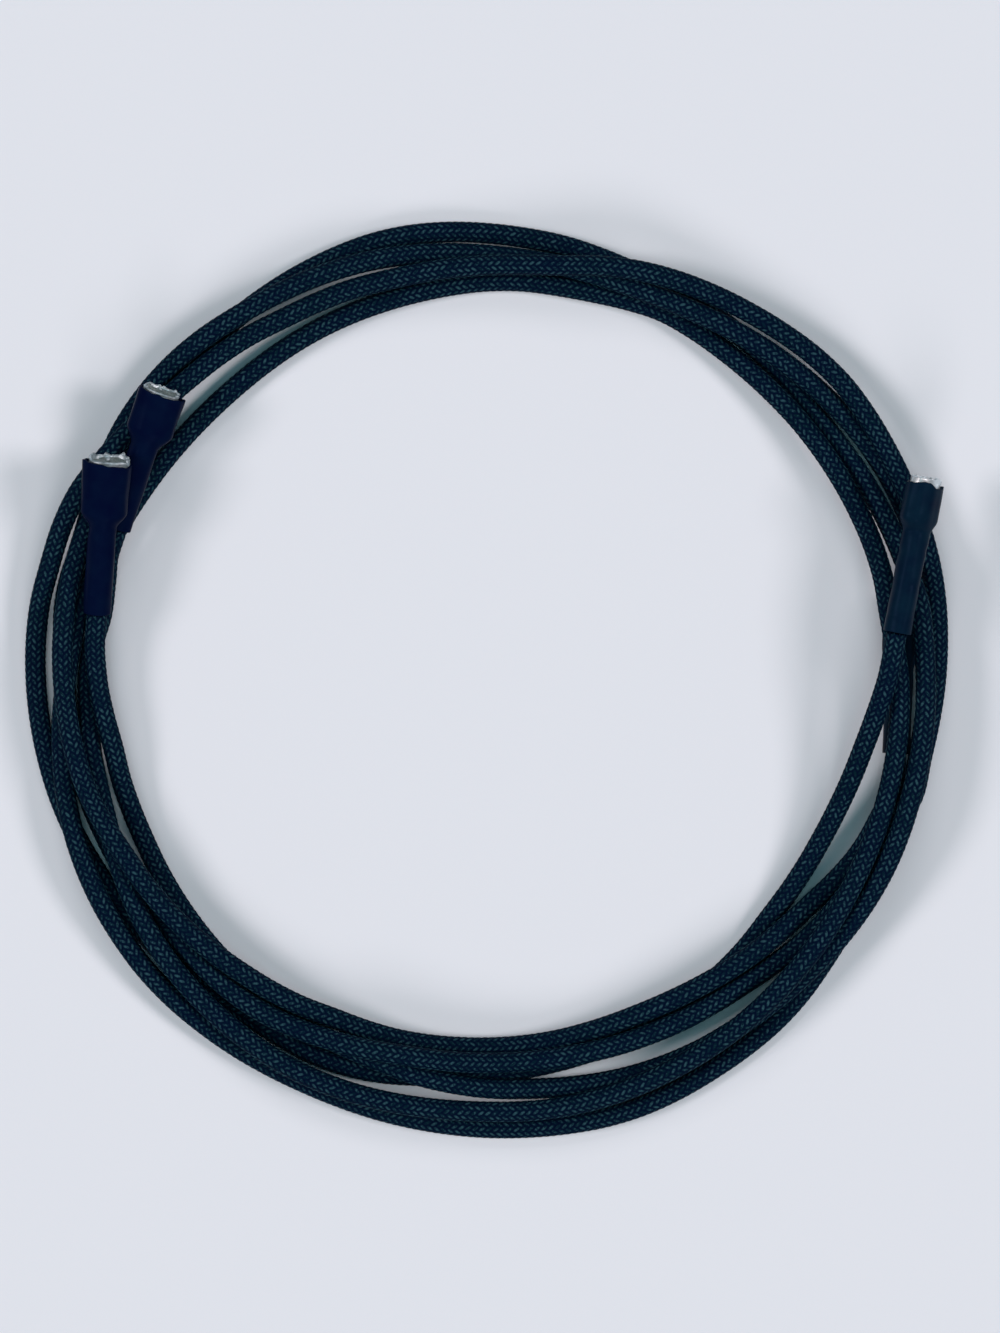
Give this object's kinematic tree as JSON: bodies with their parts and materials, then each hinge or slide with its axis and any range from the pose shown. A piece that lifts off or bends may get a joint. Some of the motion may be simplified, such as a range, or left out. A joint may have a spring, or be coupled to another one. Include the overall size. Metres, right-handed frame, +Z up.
{
  "type": "instrument cable",
  "caption": "Pair of textile-braided instrument cords wound together into a loose flat ring, each end closed by a shrink sleeve over an oval metal end.",
  "frame": {"origin": "middle of the ring's outline, on the surface that the ring lies on", "axes": "+Z up out of the surface; +X to the right and +Y away, as the picture shows the ring from above"},
  "size_m": [0.2748, 0.2734, 0.0342],
  "materials": {
    "braid": "tight textile braid, dark teal with fine lighter flecks",
    "shrink": "satin heat-shrink tubing, blue-black",
    "tinned": "tinned metal, mottled",
    "resin": "dull cast resin",
    "silvered": "silvered contact",
    "screen": "tinned braid",
    "core_skin": "plain insulation",
    "copper": "bare copper strand"
  },
  "bodies": {
    "root": {"cord_one": "braid", "cord_two": "braid", "shrink_sleeve_c": "shrink", "metal_end_c": "tinned", "insulator_c": "resin", "contact_c": "silvered", "cord_end_c": "braid", "screen_c": "screen", "core_c": "core_skin", "conductor_c": "copper", "shrink_sleeve_a": "shrink", "metal_end_a": "tinned", "insulator_a": "resin", "contact_a": "silvered", "cord_end_a": "braid", "screen_a": "screen", "core_a": "core_skin", "conductor_a": "copper", "shrink_sleeve_b": "shrink", "metal_end_b": "tinned", "insulator_b": "resin", "contact_b": "silvered", "cord_end_b": "braid", "screen_b": "screen", "core_b": "core_skin", "conductor_b": "copper", "shrink_sleeve_d": "shrink", "metal_end_d": "tinned", "insulator_d": "resin", "contact_d": "silvered", "cord_end_d": "braid", "screen_d": "screen", "core_d": "core_skin", "conductor_d": "copper"}
  },
  "joints": []
}
